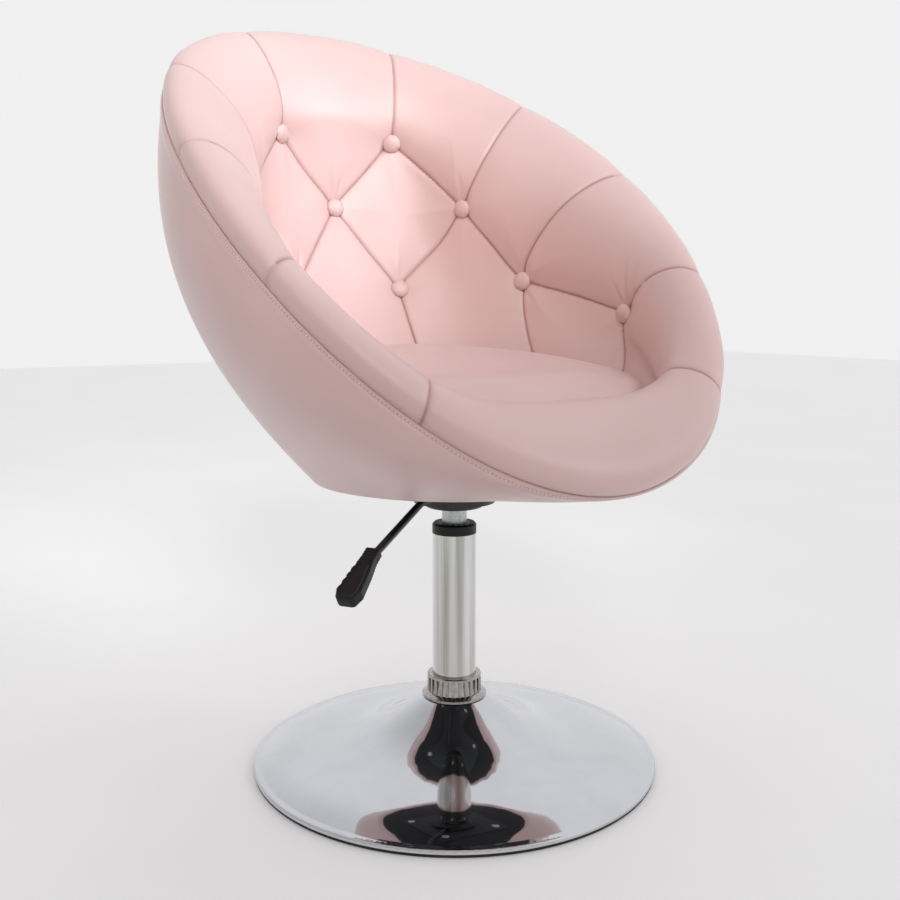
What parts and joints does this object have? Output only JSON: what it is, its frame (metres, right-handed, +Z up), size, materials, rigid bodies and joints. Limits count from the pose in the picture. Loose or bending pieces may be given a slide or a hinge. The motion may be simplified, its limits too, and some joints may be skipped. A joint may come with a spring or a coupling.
{
  "type": "styling chair",
  "caption": "Padded bucket styling chair with a tufted inside and a rolled rim, on a swivelling gas-lift column and a round trumpet base.",
  "frame": {"origin": "centre of the base's underside, on the column axis, on the floor", "axes": "+Z up along the column, the sitter faces -Y, +X to the sitter's left; the lever is on the sitter's right"},
  "size_m": [0.591, 0.6672, 0.8765],
  "materials": {
    "chrome": "polished",
    "steel": "satin",
    "zinc_steel": "satin",
    "black_steel": "satin",
    "black_plastic": "satin",
    "white_plastic": "satin",
    "rubber": "matte",
    "plywood": "matte",
    "foam": "matte",
    "leather": "satin",
    "dust_cloth": "matte",
    "cast_iron": "matte"
  },
  "bodies": {
    "base": {"base_edge_ring": "rubber", "base_plate": "steel", "base_shell": "chrome", "hub_bolts": "zinc_steel", "hub_nuts": "zinc_steel", "column_hub": "cast_iron", "column_tube": "chrome", "column_plug": "steel", "guide_bushing": "black_plastic", "trim_collar": "chrome", "bearing_lower_race": "steel", "bearing_cage": "white_plastic", "bearing_balls": "steel"},
    "piston_rod": {"piston_rod": "chrome", "piston": "white_plastic", "retaining_clip": "steel", "bearing_upper_race": "steel", "rubber_buffer": "rubber"},
    "seat": {"gas_cylinder": "zinc_steel", "cylinder_seal": "black_plastic", "mechanism_housing": "black_steel", "lever_pivot_pin": "steel", "plate_bolts": "zinc_steel", "tee_nuts": "zinc_steel", "seat_board": "plywood", "dust_cover": "dust_cloth", "bottom_ring": "leather", "cushion_base": "foam", "seat_cushion": "foam", "outer_cover": "leather", "shell_frame": "plywood", "tufted_padding": "foam", "front_padding": "foam", "welt_strip": "leather", "tuft_buttons": "leather", "rim_roll_back": "leather", "rim_roll_front": "leather", "rim_roll_left_1": "leather", "rim_roll_left_2": "leather", "rim_roll_left_3": "leather", "rim_roll_left_4": "leather", "rim_roll_right_1": "leather", "rim_roll_right_2": "leather", "rim_roll_right_3": "leather", "rim_roll_right_4": "leather"},
    "lever": {"lever_rod": "black_steel", "lever_grip": "black_plastic"},
    "release_pin": {"release_pin": "steel"}
  },
  "joints": [
    {"name": "swivel", "type": "hinge", "parent": "base", "child": "piston_rod", "pos_m": [0, 0, 0.025], "axis": [0, 0, 1], "continuous": true},
    {"name": "lift", "type": "slide", "parent": "piston_rod", "child": "seat", "axis": [0, 0, 1], "range_m": [0, 0.13]},
    {"name": "lever_lift", "type": "hinge", "parent": "seat", "child": "lever", "pos_m": [-0.02073, -0.01398, 0.316], "axis": [-0.5592, 0.829, 0], "range_deg": [0, 4.5], "stiffness_Nm_per_rad": 4, "springref_deg": -4.58},
    {"name": "pin_press", "type": "slide", "parent": "seat", "child": "release_pin", "axis": [0, 0, -1], "range_m": [0, 0.002]}
  ],
  "couplings": [
    {"joint": "pin_press", "follows": "lever_lift", "m_per_rad": 0.025}
  ]
}
